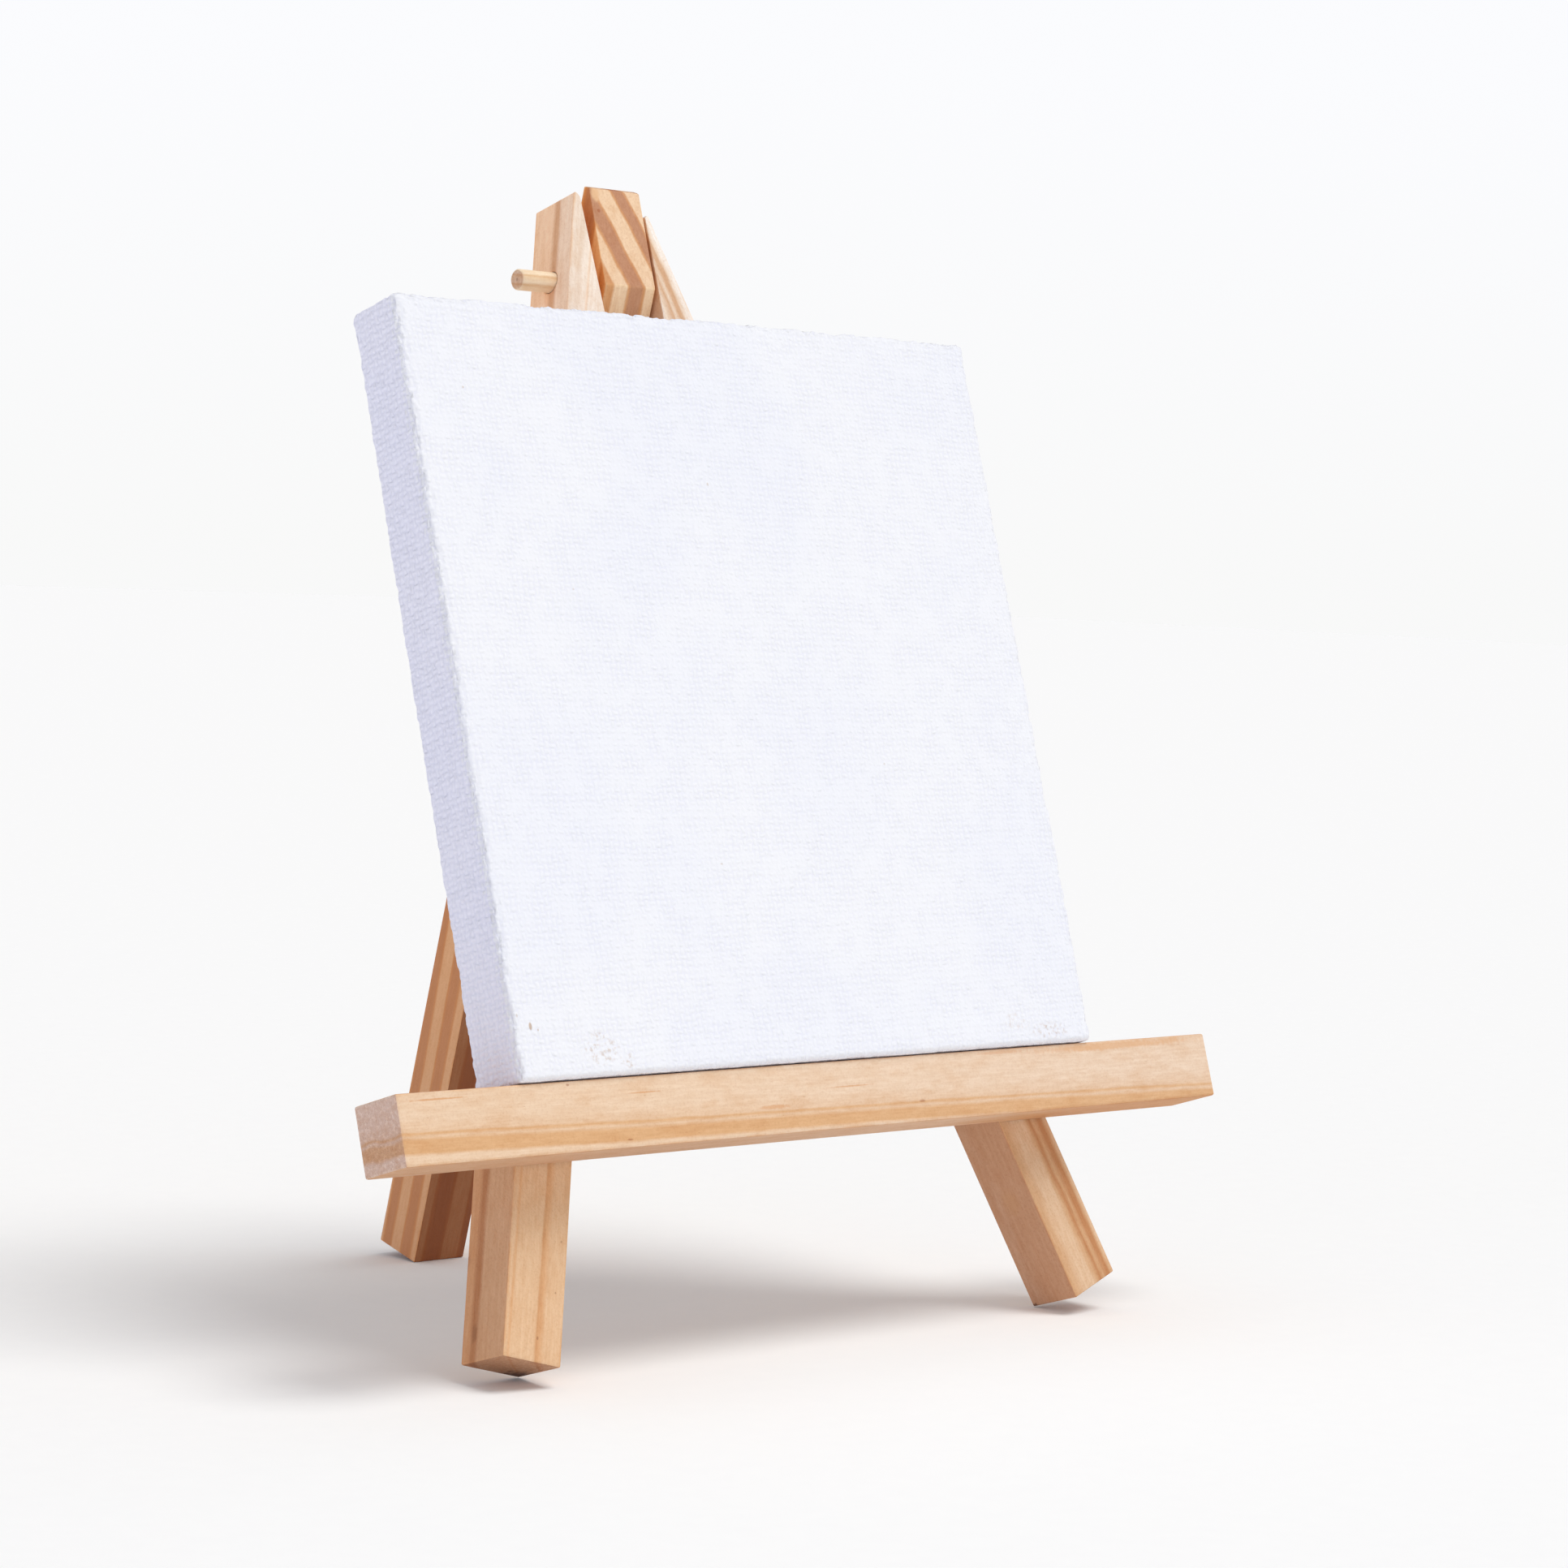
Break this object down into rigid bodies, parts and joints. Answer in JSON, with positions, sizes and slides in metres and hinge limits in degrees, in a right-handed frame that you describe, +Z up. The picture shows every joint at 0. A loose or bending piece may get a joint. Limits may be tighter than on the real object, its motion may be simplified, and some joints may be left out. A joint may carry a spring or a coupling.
{
  "type": "tabletop easel",
  "caption": "Small folding tabletop display easel of square pine sticks with a pivoting rear leg and a front ledge, holding a mini square stretched canvas",
  "frame": {"origin": "middle of the bounding box on the table surface that the feet stand on", "axes": "+Z up, the canvas faces -Y and leans back toward +Y, +X to the right as seen from the front"},
  "size_m": [0.142, 0.0866, 0.1506],
  "materials": {
    "pine_front_left": "raw planed pine, pale and warm, fine grain along the stick",
    "pine_front_right": "raw planed pine, pale and warm, fine grain along the stick",
    "pine_rear": "raw planed pine with strong brown growth bands, seen as diagonal stripes on the bevel",
    "dowel_wood": "raw round dowel, slightly yellow, lengthwise fibres and an open end grain",
    "pine_ledge": "raw planed pine with an orange band along the lower front and porous end grain",
    "bar_wood": "raw pale softwood, lightly sanded",
    "primed_cotton": "white acrylic-primed plain-weave cotton, matt, weave showing through",
    "brad_steel": "bright steel wire brad, slightly dulled",
    "staple_steel": "bright zinc-coated steel wire"
  },
  "bodies": {
    "frame": {"front_leg_left": "pine_front_left", "front_leg_right": "pine_front_right", "pivot_dowel": "dowel_wood", "canvas_ledge": "pine_ledge", "ledge_brad_left_1": "brad_steel", "ledge_brad_left_2": "brad_steel", "ledge_brad_right_1": "brad_steel", "ledge_brad_right_2": "brad_steel"},
    "rear_leg": {"rear_leg": "pine_rear"},
    "canvas": {"stretcher_bar_bottom": "bar_wood", "stretcher_bar_right": "bar_wood", "stretcher_bar_top": "bar_wood", "stretcher_bar_left": "bar_wood", "canvas_cloth": "primed_cotton", "cloth_staple_bottom_1": "staple_steel", "cloth_staple_bottom_2": "staple_steel", "cloth_staple_right_1": "staple_steel", "cloth_staple_right_2": "staple_steel", "cloth_staple_top_1": "staple_steel", "cloth_staple_top_2": "staple_steel", "cloth_staple_left_1": "staple_steel", "cloth_staple_left_2": "staple_steel", "corner_staple_bottom_right": "staple_steel", "corner_staple_top_right": "staple_steel", "corner_staple_top_left": "staple_steel", "corner_staple_bottom_left": "staple_steel"}
  },
  "joints": [
    {"name": "rear_leg_swing", "type": "hinge", "parent": "frame", "child": "rear_leg", "pos_m": [-0.0044, 0.00532, 0.13716], "axis": [1, 0, 0], "range_deg": [-32, 8]},
    {"name": "canvas_lift_off", "type": "slide", "parent": "frame", "child": "canvas", "axis": [0, -0.9511, 0.309], "range_m": [0, 0.1]}
  ]
}
